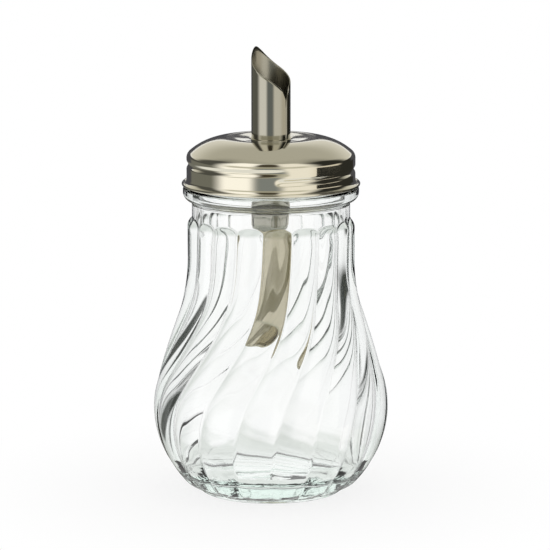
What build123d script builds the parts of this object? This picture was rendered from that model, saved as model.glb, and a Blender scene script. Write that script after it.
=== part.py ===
"""Glass sugar dispenser: fluted jar, screw lid, pouring spout with a gravity flap, dosing tube.

Units are millimetres. The origin is the centre of the jar's foot, +Z is up, -Y is the front and
+X is the right-hand side. All pieces stand on the one vertical axis.
"""
from build123d import *
import os
from math import cos, exp, pi, radians, sin, sqrt, tan

# ---------------------------------------------------------------- clearances
press_gap = 0.02         # pieces pressed or clinched into each other
running_gap = 0.05       # flap knuckle on its pin, radial
seat_gap = 0.1           # a loose piece above what it rests on
thread_gap = 0.45        # glass thread's crest to the inside of the skirt

# ---------------------------------------------------------------- jar, fluted body
belly_radius = 40.0      # over the rib crests, at the widest place
belly_height = 29.0      # height of the widest place
belly_curve = 36.0       # radius of the belly's arc
flank_angle = 17.6       # slope of the straight flank, from the vertical, degrees
throat_radius = 28.3     # over the rib crests, where the body stands straight
throat_curve = 60.0      # radius of the hollow arc from flank to throat
shoulder_height = 90.5   # where the ribs begin to round off
rib_round = 4.0          # radius that rounds the upper ends of the ribs
rib_count = 18
rib_depth = 1.5          # crest to valley
rib_twist = 35.8         # how far a rib winds round from foot to throat, degrees
twist_height = 49.0      # height of the steepest part of the winding
twist_spread = 9.9       # how gradually the winding sets in and fades out
valley_angle = -90.2     # where one valley meets the foot, degrees from +X
body_start = 1.4         # underside of the fluted body
station_step = 5.0       # greatest distance between the sections that carry the flutes

# ---------------------------------------------------------------- jar, turned parts
glass_wall = 2.2         # least thickness, in the valleys
floor_height = 7.5       # top of the glass floor, at its rim
floor_rise = 1.2         # how much the floor domes up in the middle
floor_round = 6.0        # inside corner between floor and wall
foot_radius = 24.2
foot_width = 3.4         # width of the ring that the jar stands on
foot_recess = 1.2        # depth of the hollow under the foot
foot_edge = 0.5          # bevelled edges of the ring
neck_step = 0.1          # plain neck inside the valleys of the throat
neck_length = 12.1       # from the end of the ribs' straight part to the bead's widest place
bead_radius = 3.0        # quarter-round bead below the lid
bead_lip = 1.4           # plain edge above the bead's widest place
finish_step = 0.5        # wall that carries the thread, inside the neck
finish_length = 11.4     # from the bead to the mouth
finish_wall = 2.6        # thickness at the mouth
mouth_taper = 6.0        # height over which the bore narrows to the mouth
lip_edge = 0.6           # bevelled edges of the lip

# ---------------------------------------------------------------- screw thread
thread_pitch = 3.2
thread_angle = 272.0     # where the rolled thread starts, degrees from +X
thread_lead = 1.6        # glass thread above the rolled one
glass_thread = 0.9       # radius of the glass thread's section
thread_height = 1.4      # how far the glass thread stands out of its wall
glass_turns = 0.8
rolled_radius = 1.7      # radius of the groove rolled into the skirt
rolled_depth = 0.6
rolled_sides = 12        # sides of its section
rolled_turns = 1.05
rolled_drop = 5.8        # start of the rolled groove below the mouth
thread_sides = 8         # sides of the glass thread's section

# ---------------------------------------------------------------- lid
sheet = 0.4              # thickness of the metal
lid_clear = 0.44         # lid above the gasket's outer edge
lid_flat = 14.5          # radius of the flat middle
lid_crown = 20.0         # radius of the curve from the flat to the shoulder
lid_shoulder = 2.7
lid_dish = 0.35          # how far the flat middle is pressed down at the hole
dish_radius = 12.5
hem_clear = 0.75         # curled hem above the bead
hem_bead = 0.6           # radius of the curl
hem_flare = 2.2          # radius of the flare from skirt to curl
hem_reach = 1.05         # how far the curl's middle stands out from the skirt
hole_bend = 0.9          # bend of the turned-down edge of the hole
hole_depth = 3.0         # depth of the turned-down edge

# ---------------------------------------------------------------- gasket
gasket_thickness = 1.0
gasket_inset = 0.3       # how far the gasket stays inside the width of the lip

# ---------------------------------------------------------------- spout
spout_radius = 6.6
spout_wall = 0.45
spout_rise = 30.3        # top of the slanted mouth above the lid
spout_drop = 26.5        # lower end below the jar's mouth
mouth_angle = -40.0      # side of the mouth's low corner and of the seam, degrees from +X
mouth_slope = 32.0       # slant of the mouth's straight middle part, degrees from the horizontal
mouth_straight = 3.0     # how far the straight part runs towards the low corner
tip_straight = 1.6       # how far it runs towards the tip; the edge steepens past both
mouth_rise = 22.2        # the straight part's middle above the lid
corner_rise = 15.6       # the mouth's low corner above the lid
spout_cone = 2.7         # height of the foot's cone, closed in round the dosing tube
seam_width = 0.25
seam_depth = 0.15
notch_width = 2.6        # open V at the mouth's low corner
notch_length = 2.4
slit_width = 0.4         # the V runs out into a slit
slit_length = 3.0

# ---------------------------------------------------------------- dosing tube
dosing_radius = 4.9
dosing_wall = 0.4
dosing_length = 45.4     # from the spout's foot to the lowest point of the slanted end
dosing_slope = 56.0      # slant of the end, degrees from the horizontal
dosing_angle = 75.0      # side of the end's lowest point, degrees from +X

# ---------------------------------------------------------------- flap and pin
pin_drop = 5.4           # pin below the jar's mouth
pin_offset = 4.6         # pin to the spout's axis
pin_radius = 0.5
pin_head_radius = 0.9
pin_head = 0.4
knuckle_wall = 0.45
knuckle_reach = 2.2      # half the knuckle's length
flap_radius = 5.5
flap_thickness = 0.5
seat_radius = 5.0        # opening of the bead rolled into the spout, where the flap rests

os.makedirs("parts", exist_ok=True)

# ---------------------------------------------------------------- sizes that follow
slope = radians(flank_angle)
flank_low = belly_height + belly_curve * sin(slope)
flank_low_radius = belly_radius - belly_curve * (1 - cos(slope))
flank_high_radius = throat_radius + throat_curve * (1 - cos(slope))
flank_high = flank_low + (flank_low_radius - flank_high_radius) / tan(slope)
throat_height = flank_high + throat_curve * sin(slope)
inset = rib_depth + glass_wall
rib_angle = 360 / rib_count
neck_radius = throat_radius - rib_depth - neck_step
bead_height = shoulder_height + neck_length
bead_top = bead_height + bead_lip
finish_radius = neck_radius - finish_step
mouth_radius = finish_radius - finish_wall
mouth_height = bead_top + finish_length
lid_radius = finish_radius + thread_height + thread_gap + sheet
gasket_outer = finish_radius - gasket_inset
gasket_top = mouth_height + seat_gap + gasket_thickness
crown_drop = lid_crown - sqrt((lid_crown - sheet) ** 2 - (gasket_outer - lid_flat) ** 2)
lid_top = gasket_top + lid_clear + crown_drop
hem_height = bead_top + hem_clear + hem_bead
mouth_centre = lid_top + mouth_rise
mouth_corner = lid_top + corner_rise
rolled_height = mouth_height - rolled_drop
pin_height = mouth_height - pin_drop
spout_tip = lid_top + spout_rise
spout_foot = mouth_height - spout_drop
dosing_end = spout_foot - dosing_length


def crest_radius(height: float) -> float:
    """Radius over the crests: belly arc, straight flank, hollow arc, straight throat, round end."""
    if height < flank_low:
        return belly_radius - belly_curve + sqrt(belly_curve**2 - (height - belly_height) ** 2)
    if height < flank_high:
        return flank_low_radius - (height - flank_low) * tan(slope)
    if height < throat_height:
        return throat_radius + throat_curve - sqrt(throat_curve**2 - (throat_height - height) ** 2)
    if height < shoulder_height:
        return throat_radius
    return throat_radius - rib_round + sqrt(rib_round**2 - (height - shoulder_height) ** 2)


def valley_at(height: float) -> float:
    """Angle of the first valley: the ribs wind by rib_twist, most of it near twist_height."""
    return valley_angle + rib_twist / (1 + exp((twist_height - height) / twist_spread))


def polar(radius: float, angle: float, height: float = 0.0) -> Vector:
    """Point at a radius, an angle in degrees from +X and a height."""
    return Vector(radius * cos(radians(angle)), radius * sin(radians(angle)), height)


def slanted(angle: float, slant: float, height: float) -> Plane:
    """Plane through the axis at a height, falling away on the side of the angle."""
    return Plane(origin=(0, 0, height), z_dir=polar(sin(radians(slant)), angle, cos(radians(slant))))


# ---------------------------------------------------------------- glass_jar
body_steps = -(-(shoulder_height - body_start) // station_step)
stations = [body_start + (shoulder_height - body_start) * i / body_steps for i in range(int(body_steps) + 1)]
stations += [shoulder_height + rib_round * share for share in (0.3, 0.55, 0.75, 0.9)]
glass_thread_radius = finish_radius + thread_height - glass_thread
throat_bore = throat_radius - inset
bore_top = mouth_height - (mouth_height - bead_top) / 2
thread_room = 4 * thread_pitch * (1 + max(glass_turns, rolled_turns))

with BuildPart() as jar_body:
    # Fluted body: one convex arc per rib at each station, wound round a little more each time
    for station in stations:
        with BuildSketch(Plane.XY.offset(station)):
            with BuildLine():
                crest = crest_radius(station)
                for rib in range(rib_count):
                    start = valley_at(station) + rib * rib_angle
                    ThreePointArc(
                        polar(crest - rib_depth, start),
                        polar(crest, start + rib_angle / 2),
                        polar(crest - rib_depth, start + rib_angle),
                    )
            make_face()
    loft(ruled=True)
    # Foot ring, plain neck with its bead, and the wall that carries the thread
    with BuildSketch(Plane.XZ):
        with BuildLine():
            Polyline(
                (neck_radius, bead_height - bead_radius),
                (neck_radius, 4 * body_start),
                (foot_radius, 2 * body_start),
                (foot_radius, 0),
                (0, 0),
                (0, mouth_height),
                (finish_radius, mouth_height),
                (finish_radius, bead_top),
                (neck_radius + bead_radius, bead_top),
                (neck_radius + bead_radius, bead_height),
            )
            RadiusArc(
                (neck_radius + bead_radius, bead_height),
                (neck_radius, bead_height - bead_radius),
                bead_radius,
            )
        make_face()
    revolve(axis=Axis.Z)
    # Inside: domed floor, belly, flank and throat at one distance from the ribs' crests
    with BuildSketch(Plane.XZ):
        with BuildLine():
            wall = [
                (crest_radius(height) - inset, height)
                for height in [floor_height] + stations
                if floor_height <= height <= shoulder_height
            ]
            Line((0, mouth_height), (0, floor_height + floor_rise))
            TangentArc((0, floor_height + floor_rise), wall[0], tangent=(1, 0))
            Polyline(
                *wall,
                (throat_bore, bore_top - mouth_taper),
                (mouth_radius, bore_top),
                (mouth_radius, mouth_height),
                (0, mouth_height),
            )
        hollow = make_face()
        fillet(hollow.vertices().sort_by_distance(Vector(*wall[0]))[0], floor_round)
    revolve(axis=Axis.Z, mode=Mode.SUBTRACT)
    # Hollow under the foot, bevelled ring and lip
    with BuildSketch(Plane.XZ):
        with BuildLine():
            Polyline(
                (0, 0),
                (foot_radius - foot_width, 0),
                (foot_radius - foot_width - foot_recess, foot_recess),
                (0, foot_recess),
                (0, 0),
            )
        make_face()
    revolve(axis=Axis.Z, mode=Mode.SUBTRACT)
    foot_edges = jar_body.edges().filter_by(GeomType.CIRCLE).group_by(Axis.Z)[0]
    chamfer(foot_edges, foot_edge)
    lip_edges = jar_body.edges().filter_by(GeomType.CIRCLE).group_by(Axis.Z)[-1]
    chamfer(lip_edges, lip_edge)

with BuildPart() as glass_screw:
    with BuildLine() as glass_helix:
        Helix(thread_pitch, thread_pitch * glass_turns, glass_thread_radius)
    with BuildSketch(Plane(glass_helix.line @ 0, x_dir=(1, 0, 0), z_dir=glass_helix.line % 0)):
        RegularPolygon(glass_thread, thread_sides)
    sweep(path=glass_helix.line, is_frenet=True)
    Cylinder(mouth_radius + lip_edge, thread_room, mode=Mode.SUBTRACT)

with BuildPart() as glass_jar:
    add(jar_body.part)
    with Locations(Location((0, 0, rolled_height + thread_lead), (0, 0, thread_angle))):
        add(glass_screw.part)

glass_jar.part.label = "glass_jar"
export_step(glass_jar.part, "parts/glass_jar.step")

# ---------------------------------------------------------------- lid_shell
flare_top = hem_height + sqrt(hem_flare**2 - (hem_flare - hem_reach) ** 2)
hole_top = lid_top - lid_dish
crown_centre = (lid_flat, lid_top - lid_crown)
shoulder_reach = lid_radius - lid_shoulder - lid_flat
shoulder_rise = sqrt((lid_crown - lid_shoulder) ** 2 - shoulder_reach**2)
shoulder_centre = (lid_radius - lid_shoulder, crown_centre[1] + shoulder_rise)
crown_end = (
    lid_flat + shoulder_reach * lid_crown / (lid_crown - lid_shoulder),
    crown_centre[1] + shoulder_rise * lid_crown / (lid_crown - lid_shoulder),
)
hole_radius = spout_radius + press_gap
rolled_centre = lid_radius - rolled_depth + rolled_radius
end_turns = 2 * sheet / (2 * pi * lid_radius)

# The ridge inside runs on past both ends of the groove outside, so that it closes them
with BuildPart() as rolled_ridge:
    with BuildLine() as ridge_helix:
        Helix(thread_pitch, thread_pitch * (rolled_turns + 2 * end_turns), rolled_centre)
    with BuildSketch(Plane(ridge_helix.line @ 0, x_dir=(1, 0, 0), z_dir=ridge_helix.line % 0)):
        RegularPolygon(rolled_radius + sheet, rolled_sides)
    sweep(path=ridge_helix.line, is_frenet=True)
    Cylinder(lid_radius - sheet / 2, thread_room, mode=Mode.INTERSECT)

with BuildPart() as rolled_groove:
    with BuildLine() as groove_helix:
        Helix(thread_pitch, thread_pitch * rolled_turns, rolled_centre)
    with BuildSketch(Plane(groove_helix.line @ 0, x_dir=(1, 0, 0), z_dir=groove_helix.line % 0)):
        RegularPolygon(rolled_radius, rolled_sides)
    sweep(path=groove_helix.line, is_frenet=True)

with BuildPart() as lid_shell:
    with BuildSketch(Plane.XZ):
        with BuildLine() as outside:
            Line((hole_radius, hole_top - hole_depth), (hole_radius, hole_top - hole_bend))
            RadiusArc((hole_radius, hole_top - hole_bend), (hole_radius + hole_bend, hole_top), hole_bend)
            Polyline((hole_radius + hole_bend, hole_top), (dish_radius, lid_top), (lid_flat, lid_top))
            RadiusArc((lid_flat, lid_top), crown_end, lid_crown)
            RadiusArc(crown_end, (lid_radius, shoulder_centre[1]), lid_shoulder)
            Line((lid_radius, shoulder_centre[1]), (lid_radius, flare_top))
            RadiusArc((lid_radius, flare_top), (lid_radius + hem_reach, hem_height), -hem_flare)
            offset(outside.line, amount=sheet, side=Side.RIGHT)
        make_face()
        with Locations((lid_radius + hem_reach, hem_height)):
            Circle(hem_bead)
    revolve(axis=Axis.Z)
    ridge_start = (0, 0, rolled_height - thread_pitch * end_turns)
    with Locations(Location(ridge_start, (0, 0, thread_angle - 360 * end_turns))):
        add(rolled_ridge.part)
    with Locations(Location((0, 0, rolled_height), (0, 0, thread_angle))):
        add(rolled_groove.part, mode=Mode.SUBTRACT)

lid_shell.part.label = "lid_shell"
export_step(lid_shell.part, "parts/lid_shell.step")

# ---------------------------------------------------------------- lid_gasket
with BuildPart() as lid_gasket:
    with BuildSketch(Plane.XY.offset(mouth_height + seat_gap)):
        Circle(gasket_outer)
        Circle(mouth_radius + gasket_inset, mode=Mode.SUBTRACT)
    extrude(amount=gasket_thickness)

lid_gasket.part.label = "lid_gasket"
export_step(lid_gasket.part, "parts/lid_gasket.step")

# ---------------------------------------------------------------- spout_tube
spout_bore = spout_radius - spout_wall
knuckle_radius = pin_radius + running_gap + knuckle_wall
flap_underside = pin_height - knuckle_radius
seat_depth = spout_bore - seat_radius
seat_groove = spout_radius - seat_radius - spout_wall * sqrt(2)
seat_height = flap_underside - seat_gap * sqrt(2) - (flap_radius - seat_radius)
mouth_fall = tan(radians(mouth_slope))
spout_blank = spout_tip + spout_radius
foot_bore = dosing_radius + press_gap
seam_plane = Plane(origin=(0, 0, 0), x_dir=polar(1, mouth_angle), z_dir=polar(1, mouth_angle - 90))
notch_plane = Plane((0, 0, mouth_corner), x_dir=polar(1, mouth_angle + 90), z_dir=polar(1, mouth_angle))
pin_plane = Plane(
    origin=polar(pin_offset, mouth_angle, pin_height),
    x_dir=polar(1, mouth_angle),
    z_dir=polar(1, mouth_angle + 90),
)

with BuildPart() as spout_tube:
    # Straight wall, closed in at the foot, with the seat bead rolled in under the flap
    with BuildSketch(Plane.XZ):
        with BuildLine():
            Polyline(
                (foot_bore, spout_foot),
                (foot_bore + spout_wall, spout_foot),
                (spout_radius, spout_foot + spout_cone),
                (spout_radius, spout_blank),
                (spout_bore, spout_blank),
                (spout_bore, spout_foot + spout_cone),
                (foot_bore, spout_foot),
            )
        make_face()
        with BuildLine():
            Polyline(
                (spout_bore, seat_height - seat_depth),
                (seat_radius, seat_height),
                (spout_bore, seat_height + seat_depth),
                (spout_radius, seat_height + seat_depth),
                (spout_radius, seat_height - seat_depth),
                (spout_bore, seat_height - seat_depth),
            )
        make_face()
        with BuildLine():
            Polyline(
                (spout_radius, seat_height - seat_groove),
                (spout_radius - seat_groove, seat_height),
                (spout_radius, seat_height + seat_groove),
                (spout_radius, seat_height - seat_groove),
            )
        make_face(mode=Mode.SUBTRACT)
    revolve(axis=Axis.Z)
    # Mouth: slanted in the middle, steeper towards the tip and the low corner
    with BuildSketch(seam_plane):
        with BuildLine():
            middle = Line(
                (-tip_straight, mouth_centre + tip_straight * mouth_fall),
                (mouth_straight, mouth_centre - mouth_straight * mouth_fall),
            )
            TangentArc(middle @ 1, (spout_radius, mouth_corner), tangent=middle % 1)
            Polyline(
                (spout_radius, mouth_corner),
                (2 * spout_radius, mouth_corner),
                (2 * spout_radius, spout_blank + spout_radius),
                (-2 * spout_radius, spout_blank + spout_radius),
                (-2 * spout_radius, spout_tip),
                (-spout_radius, spout_tip),
            )
            TangentArc(middle @ 0, (-spout_radius, spout_tip), tangent=(middle % 0) * -1)
        make_face()
    extrude(amount=2 * spout_radius, both=True, mode=Mode.SUBTRACT)
    # Butt seam below the mouth's low corner, open at the top
    with BuildSketch(seam_plane):
        with Locations((spout_radius, (mouth_corner + lid_top) / 2)):
            Rectangle(2 * seam_depth, mouth_corner - lid_top + 2 * notch_length)
    extrude(amount=seam_width / 2, both=True, mode=Mode.SUBTRACT)
    with BuildSketch(notch_plane):
        with BuildLine():
            Polyline(
                (0, -notch_length - slit_length),
                (slit_width / 2, -notch_length),
                (notch_width / 2, 0),
                (notch_width / 2, spout_radius),
                (-notch_width / 2, spout_radius),
                (-notch_width / 2, 0),
                (-slit_width / 2, -notch_length),
                (0, -notch_length - slit_length),
            )
        make_face()
    extrude(amount=2 * spout_radius, mode=Mode.SUBTRACT)
    # Holes for the flap's pin
    with BuildSketch(pin_plane):
        Circle(pin_radius + press_gap)
    extrude(amount=2 * spout_radius, both=True, mode=Mode.SUBTRACT)

spout_tube.part.label = "spout_tube"
export_step(spout_tube.part, "parts/spout_tube.step")

# ---------------------------------------------------------------- dosing_tube
flare_radius = spout_bore - press_gap
dosing_rise = dosing_radius * tan(radians(dosing_slope))

with BuildPart() as dosing_tube:
    with BuildSketch(Plane.XZ):
        with BuildLine():
            Polyline(
                (dosing_radius - dosing_wall, dosing_end),
                (dosing_radius, dosing_end),
                (dosing_radius, spout_foot),
                (flare_radius, spout_foot + spout_cone),
                (flare_radius - dosing_wall, spout_foot + spout_cone),
                (dosing_radius - dosing_wall, spout_foot),
                (dosing_radius - dosing_wall, dosing_end),
            )
        make_face()
    revolve(axis=Axis.Z)
    split(bisect_by=slanted(dosing_angle, dosing_slope, dosing_end + dosing_rise), keep=Keep.TOP)

dosing_tube.part.label = "dosing_tube"
export_step(dosing_tube.part, "parts/dosing_tube.step")

# ---------------------------------------------------------------- flap
with BuildPart() as flap:
    # Disc, trimmed at the hinge line
    with BuildSketch(Plane(origin=(0, 0, flap_underside), x_dir=polar(1, mouth_angle))):
        Circle(flap_radius)
        with Locations((pin_offset, 0)):
            Rectangle(flap_radius, 2 * flap_radius, align=(Align.MIN, Align.CENTER), mode=Mode.SUBTRACT)
    extrude(amount=flap_thickness)
    # Knuckle curled round the pin
    with BuildSketch(pin_plane):
        Circle(knuckle_radius)
    extrude(amount=knuckle_reach, both=True)
    with BuildSketch(pin_plane):
        Circle(pin_radius + running_gap)
    extrude(amount=2 * flap_radius, both=True, mode=Mode.SUBTRACT)

flap.part.label = "flap"
export_step(flap.part, "parts/flap.step")

# ---------------------------------------------------------------- flap_pin
head_start = sqrt(spout_radius**2 - (pin_offset - pin_head_radius) ** 2) + press_gap

with BuildPart() as flap_pin:
    with BuildSketch(pin_plane):
        Circle(pin_radius)
    extrude(amount=head_start + pin_head, both=True)
    for side in (-1, 1):
        with BuildSketch(pin_plane.offset(side * head_start)):
            Circle(pin_head_radius)
        extrude(amount=side * pin_head)
    head_edges = flap_pin.edges().filter_by(GeomType.CIRCLE).filter_by(
        lambda edge: abs(edge.radius - pin_head_radius) < press_gap
    )
    chamfer(head_edges, pin_head / 3)

flap_pin.part.label = "flap_pin"
export_step(flap_pin.part, "parts/flap_pin.step")
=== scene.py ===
"""Looks of a glass sugar dispenser: twisted fluted jar, screw lid, pouring spout and dosing tube.

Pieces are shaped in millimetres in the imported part's own frame and scaled to metres at the end:
the origin is the centre of the foot, +Z is up, -Y is the front and +X is the right-hand side.
"""
from __future__ import annotations

import logging
import math
from dataclasses import dataclass, field
from enum import Enum
from typing import Any, Iterable, Sequence, Union

import bmesh
import bpy
import numpy as np
from mathutils import Matrix

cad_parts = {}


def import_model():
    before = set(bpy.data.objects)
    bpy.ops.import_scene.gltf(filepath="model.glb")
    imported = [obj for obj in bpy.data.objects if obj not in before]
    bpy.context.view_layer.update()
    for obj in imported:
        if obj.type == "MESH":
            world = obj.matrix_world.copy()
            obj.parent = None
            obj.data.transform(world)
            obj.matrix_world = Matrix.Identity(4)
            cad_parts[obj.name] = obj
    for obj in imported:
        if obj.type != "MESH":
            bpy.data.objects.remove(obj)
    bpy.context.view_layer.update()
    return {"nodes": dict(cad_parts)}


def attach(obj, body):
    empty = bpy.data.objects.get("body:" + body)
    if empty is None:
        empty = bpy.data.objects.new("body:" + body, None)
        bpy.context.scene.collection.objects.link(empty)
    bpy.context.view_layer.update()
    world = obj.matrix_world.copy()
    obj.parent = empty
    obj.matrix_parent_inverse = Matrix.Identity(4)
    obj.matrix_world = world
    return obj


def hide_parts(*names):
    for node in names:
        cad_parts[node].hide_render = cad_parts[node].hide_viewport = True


log = logging.getLogger("sugar_dispenser")

MM = 0.001
Point = tuple[float, float]
Colour = tuple[float, float, float]
Number = Union["Value", float]


# ------------------------------------------------------------------ node trees
class Value:
    """A number carried by a socket. Arithmetic on it adds Math nodes to its tree."""

    def __init__(self, graph: Graph, socket: bpy.types.NodeSocket) -> None:
        """Keeps the socket and the graph that it belongs to."""
        self.graph = graph
        self.socket = socket

    def __add__(self, other: Number) -> Value:
        """Sum of two numbers."""
        return self.graph.math("ADD", self, other)

    def __radd__(self, other: Number) -> Value:
        """Sum with a plain number on the left."""
        return self.graph.math("ADD", other, self)

    def __sub__(self, other: Number) -> Value:
        """Difference of two numbers."""
        return self.graph.math("SUBTRACT", self, other)

    def __rsub__(self, other: Number) -> Value:
        """Difference with a plain number on the left."""
        return self.graph.math("SUBTRACT", other, self)

    def __mul__(self, other: Number) -> Value:
        """Product of two numbers."""
        return self.graph.math("MULTIPLY", self, other)

    def __rmul__(self, other: Number) -> Value:
        """Product with a plain number on the left."""
        return self.graph.math("MULTIPLY", other, self)

    def __truediv__(self, other: Number) -> Value:
        """Quotient of two numbers."""
        return self.graph.math("DIVIDE", self, other)

    def __rtruediv__(self, other: Number) -> Value:
        """Quotient with a plain number on the left."""
        return self.graph.math("DIVIDE", other, self)


class Graph:
    """Adds nodes and links to one shader or geometry tree."""

    def __init__(self, tree: bpy.types.NodeTree) -> None:
        """Takes over the tree and empties it."""
        self.tree = tree
        tree.nodes.clear()

    def node(
        self,
        kind: str,
        settings: dict[str, Any] | None = None,
        sockets: dict[str | int, Any] | None = None,
    ) -> bpy.types.Node:
        """Adds a node, applies its settings, then fills its sockets.

        Args:
            kind: Blender's name of the node type.
            settings: node properties by name.
            sockets: values, or sockets to link from, by socket name or index.

        Returns:
            The new node.
        """
        made = self.tree.nodes.new(kind)
        for name, setting in (settings or {}).items():
            setattr(made, name, setting)
        for name, given in (sockets or {}).items():
            source = given.socket if isinstance(given, Value) else given
            if isinstance(source, bpy.types.NodeSocket):
                self.tree.links.new(source, made.inputs[name])
            else:
                made.inputs[name].default_value = source
        return made

    def number(self, node: bpy.types.Node, output: str | int = 0) -> Value:
        """Wraps one output of a node for arithmetic."""
        return Value(self, node.outputs[output])

    def math(self, operation: str, *operands: Number) -> Value:
        """Adds a Math node.

        Args:
            operation: name of the Math operation.
            operands: its inputs, in order.

        Returns:
            The result.
        """
        return self.number(self.node("ShaderNodeMath", {"operation": operation}, dict(enumerate(operands))))

    def ramp(self, value: Number, low: Number, high: Number, start: Number = 0.0, end: Number = 1.0) -> Value:
        """Smooth rise from start at low to end at high.

        Args:
            value: the number that is looked up.
            low: where the rise begins.
            high: where it ends.
            start: result below low.
            end: result above high.

        Returns:
            The eased number.
        """
        settings = {"interpolation_type": "SMOOTHSTEP"}
        sockets = {"Value": value, "From Min": low, "From Max": high, "To Min": start, "To Max": end}
        return self.number(self.node("ShaderNodeMapRange", settings, sockets))

    def axes(self, vector: bpy.types.NodeSocket) -> tuple[Value, ...]:
        """The three numbers of a vector."""
        split = self.node("ShaderNodeSeparateXYZ", sockets={0: vector})
        return tuple(self.number(split, axis) for axis in range(3))

    def length(self, vector: bpy.types.NodeSocket) -> Value:
        """Length of a vector."""
        return self.number(self.node("ShaderNodeVectorMath", {"operation": "LENGTH"}, {0: vector}), "Value")

    def noise(self, spot: bpy.types.NodeSocket, scale: float, detail: float, roughness: float = 0.5) -> Value:
        """Adds a noise that wanders round 0.5.

        Args:
            spot: where it is looked up.
            scale: its fineness, per metre.
            detail: number of finer layers.
            roughness: how strong these are.

        Returns:
            The noise.
        """
        sockets = {"Vector": spot, "Scale": scale, "Detail": detail, "Roughness": roughness}
        return self.number(self.node("ShaderNodeTexNoise", sockets=sockets))

    def side_of_circle(self, radius: Number, offset: Number) -> Value:
        """Height of a circle above its centre at an offset from it."""
        return self.math("SQRT", self.math("MAXIMUM", radius * radius - offset * offset, 0.0))

    def blend(self, share: Number, first: Any, second: Any) -> bpy.types.NodeSocket:
        """Mixes two colours.

        Args:
            share: 0 gives the first colour and 1 the second.
            first: a colour or a colour socket.
            second: a colour or a colour socket.

        Returns:
            The mixed colour's socket.
        """
        sockets = {0: share, 6: rgba(first), 7: rgba(second)}
        return self.node("ShaderNodeMix", {"data_type": "RGBA"}, sockets).outputs[2]


def rgba(colour: Any) -> Any:
    """Adds an alpha of 1 to a plain colour and leaves a socket alone."""
    return (*colour, 1.0) if isinstance(colour, tuple) else colour


def new_material(name: str) -> tuple[bpy.types.Material, Graph]:
    """Starts a material with an empty tree.

    Args:
        name: its name.

    Returns:
        The material and its tree.
    """
    made = bpy.data.materials.new(name)
    made.use_nodes = True
    return made, Graph(made.node_tree)


def labelled(sizes: dict[str, float], **more: float) -> dict[str, float]:
    """Turns names of sizes into the labels of a tree's inputs.

    Args:
        sizes: numbers by name.
        more: further ones, which stand in for those of the same name.

    Returns:
        The numbers by label.
    """
    return {name.replace("_", " ").title(): number for name, number in {**sizes, **more}.items()}


class ShapeTree:
    """A Geometry Nodes tree with named inputs, applied once to a mesh in millimetres."""

    def __init__(self, name: str, sizes: dict[str, float]) -> None:
        """Makes the tree's sockets.

        Args:
            name: the tree's name.
            sizes: its named number inputs and their values.
        """
        self.tree = bpy.data.node_groups.new(name, "GeometryNodeTree")
        self.graph = Graph(self.tree)
        self.sizes = sizes
        side = self.tree.interface
        side.new_socket("Geometry", in_out="INPUT", socket_type="NodeSocketGeometry")
        side.new_socket("Geometry", in_out="OUTPUT", socket_type="NodeSocketGeometry")
        for label in sizes:
            side.new_socket(label, in_out="INPUT", socket_type="NodeSocketFloat")
        side.new_socket("Finish", in_out="INPUT", socket_type="NodeSocketMaterial")
        self.group = self.graph.node("NodeGroupInput")
        self.x, self.y, self.z = self.graph.axes(self.graph.node("GeometryNodeInputPosition").outputs[0])
        self.radius = self.graph.math("SQRT", self.x * self.x + self.y * self.y)
        self.angle = self.graph.math("ARCTAN2", self.y, self.x)

    def size(self, label: str) -> Value:
        """One of the named inputs."""
        return self.graph.number(self.group, label)

    def mask(self, name: str) -> Value:
        """A number stored on the mesh's points."""
        settings = {"data_type": "FLOAT"}
        return self.graph.number(self.graph.node("GeometryNodeInputNamedAttribute", settings, {"Name": name}))

    def towards(self, side: Value) -> tuple[Value, Value]:
        """Distances of each point towards a side of the axis and square to it.

        Args:
            side: angle of the side, radians.

        Returns:
            The two distances.
        """
        cosine, sine = self.graph.math("COSINE", side), self.graph.math("SINE", side)
        return self.x * cosine + self.y * sine, self.y * cosine - self.x * sine

    def place(self, x: Number, y: Number, z: Number) -> None:
        """Moves every point, then ends the tree with Realize Instances and Set Material.

        Args:
            x: new x of each point.
            y: new y.
            z: new z.
        """
        graph = self.graph
        spot = graph.node("ShaderNodeCombineXYZ", sockets={0: x, 1: y, 2: z}).outputs[0]
        sockets = {"Geometry": self.group.outputs["Geometry"], "Position": spot}
        moved = graph.node("GeometryNodeSetPosition", sockets=sockets)
        real = graph.node("GeometryNodeRealizeInstances", sockets={0: moved.outputs[0]})
        sockets = {"Geometry": real.outputs[0], "Material": self.group.outputs["Finish"]}
        dressed = graph.node("GeometryNodeSetMaterial", sockets=sockets)
        graph.node("NodeGroupOutput", sockets={0: dressed.outputs[0]})

    def place_round(self, radius: Number, angle: Number, z: Number) -> None:
        """Moves every point to a radius, an angle in radians and a height."""
        graph = self.graph
        self.place(radius * graph.math("COSINE", angle), radius * graph.math("SINE", angle), z)

    def apply(self, mesh: bpy.types.Mesh, finish: bpy.types.Material) -> bpy.types.Mesh:
        """Runs the tree on a mesh.

        Args:
            mesh: the mesh to shape; it is used up.
            finish: material that the tree sets.

        Returns:
            A plain mesh.
        """
        holder = bpy.data.objects.new(f"{self.tree.name} holder", mesh)
        bpy.context.scene.collection.objects.link(holder)
        modifier = holder.modifiers.new(self.tree.name, "NODES")
        modifier.node_group = self.tree
        for item in self.tree.interface.items_tree:
            if item.in_out == "INPUT" and item.name in self.sizes:
                modifier[item.identifier] = float(self.sizes[item.name])
            elif item.in_out == "INPUT" and item.name == "Finish":
                modifier[item.identifier] = finish
        graph = bpy.context.evaluated_depsgraph_get()
        plain = bpy.data.meshes.new_from_object(holder.evaluated_get(graph), depsgraph=graph)
        holder.modifiers.remove(modifier)
        bpy.data.objects.remove(holder)
        bpy.data.meshes.remove(mesh)
        return plain


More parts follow.
